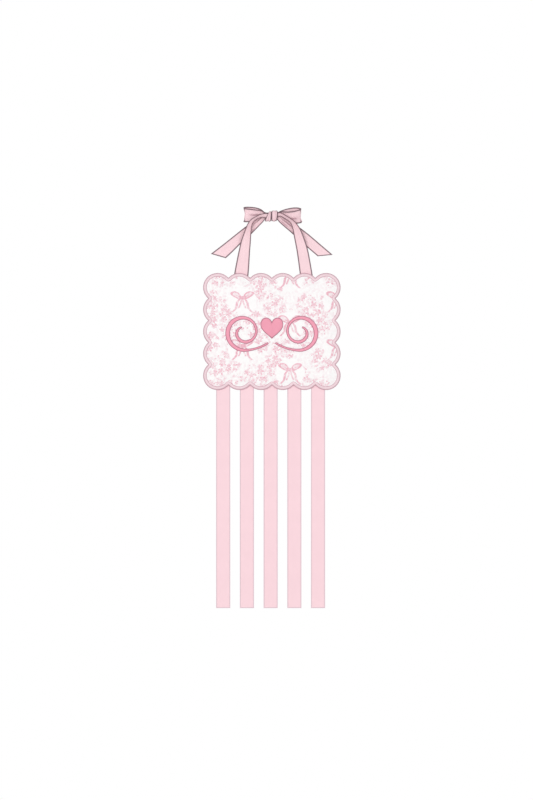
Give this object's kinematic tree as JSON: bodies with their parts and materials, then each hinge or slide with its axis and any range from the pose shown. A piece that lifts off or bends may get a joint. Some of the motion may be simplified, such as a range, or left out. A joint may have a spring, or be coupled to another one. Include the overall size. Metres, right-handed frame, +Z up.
{
  "type": "hair bow holder",
  "caption": "Padded scalloped fabric panel hung from a tied ribbon bow, with ribbon streamers below it that hair clips clamp onto.",
  "frame": {"origin": "underside of the bow knot, where a nail or hook carries the holder", "axes": "+Z up, -Y towards the room (the printed front), +Y towards the wall, +X to the right as seen from the front"},
  "size_m": [0.2128, 0.0179, 0.6221],
  "materials": {
    "bow_satin": "satin",
    "streamer_satin": "satin",
    "printed_cotton": "matte",
    "plain_cotton": "matte",
    "edge_thread": "satin",
    "embroidery_thread": "satin",
    "wadding": "matte",
    "greyboard": "matte"
  },
  "bodies": {
    "hanger": {"knot_wrap": "bow_satin", "knot_fold": "bow_satin", "bow_loop_left": "bow_satin", "bow_loop_right": "bow_satin", "tail_root_left": "bow_satin", "tail_root_right": "bow_satin", "strap_left": "bow_satin", "strap_right": "bow_satin"},
    "bow_tail_left": {"bow_tail_left": "bow_satin"},
    "bow_tail_right": {"bow_tail_right": "bow_satin"},
    "panel": {"front_cover": "printed_cotton", "back_cover": "plain_cotton", "batting_pad": "wadding", "stiffener_board": "greyboard", "edge_band": "edge_thread", "scroll_left": "embroidery_thread", "scroll_right": "embroidery_thread", "heart": "embroidery_thread", "strap_head_left": "bow_satin", "strap_head_right": "bow_satin", "streamer_head_1": "streamer_satin", "streamer_head_2": "streamer_satin", "streamer_head_3": "streamer_satin", "streamer_head_4": "streamer_satin", "streamer_head_5": "streamer_satin"},
    "streamer_1": {"streamer_1": "streamer_satin"},
    "streamer_2": {"streamer_2": "streamer_satin"},
    "streamer_3": {"streamer_3": "streamer_satin"},
    "streamer_4": {"streamer_4": "streamer_satin"},
    "streamer_5": {"streamer_5": "streamer_satin"}
  },
  "joints": [
    {"name": "panel_swing", "type": "hinge", "parent": "hanger", "child": "panel", "pos_m": [-0.0027, 0, -0.0788], "axis": [1, 0, 0], "range_deg": [-85, 45]},
    {"name": "bow_tail_left_swing", "type": "hinge", "parent": "hanger", "child": "bow_tail_left", "pos_m": [-0.0394, 0.0009, -0.016], "axis": [0.6266, 0, -0.7793], "range_deg": [0, 60]},
    {"name": "bow_tail_right_swing", "type": "hinge", "parent": "hanger", "child": "bow_tail_right", "pos_m": [0.0334, 0.0009, -0.0131], "axis": [0.6481, 0, 0.7615], "range_deg": [0, 60]},
    {"name": "streamer_1_swing", "type": "hinge", "parent": "panel", "child": "streamer_1", "pos_m": [-0.078, 0, -0.2618], "axis": [1, 0, 0], "range_deg": [-95, 95]},
    {"name": "streamer_2_swing", "type": "hinge", "parent": "panel", "child": "streamer_2", "pos_m": [-0.0413, 0, -0.2618], "axis": [1, 0, 0], "range_deg": [-95, 95]},
    {"name": "streamer_3_swing", "type": "hinge", "parent": "panel", "child": "streamer_3", "pos_m": [-0.0046, 0, -0.2618], "axis": [1, 0, 0], "range_deg": [-95, 95]},
    {"name": "streamer_4_swing", "type": "hinge", "parent": "panel", "child": "streamer_4", "pos_m": [0.0321, 0, -0.2618], "axis": [1, 0, 0], "range_deg": [-95, 95]},
    {"name": "streamer_5_swing", "type": "hinge", "parent": "panel", "child": "streamer_5", "pos_m": [0.0688, 0, -0.2618], "axis": [1, 0, 0], "range_deg": [-95, 95]}
  ]
}
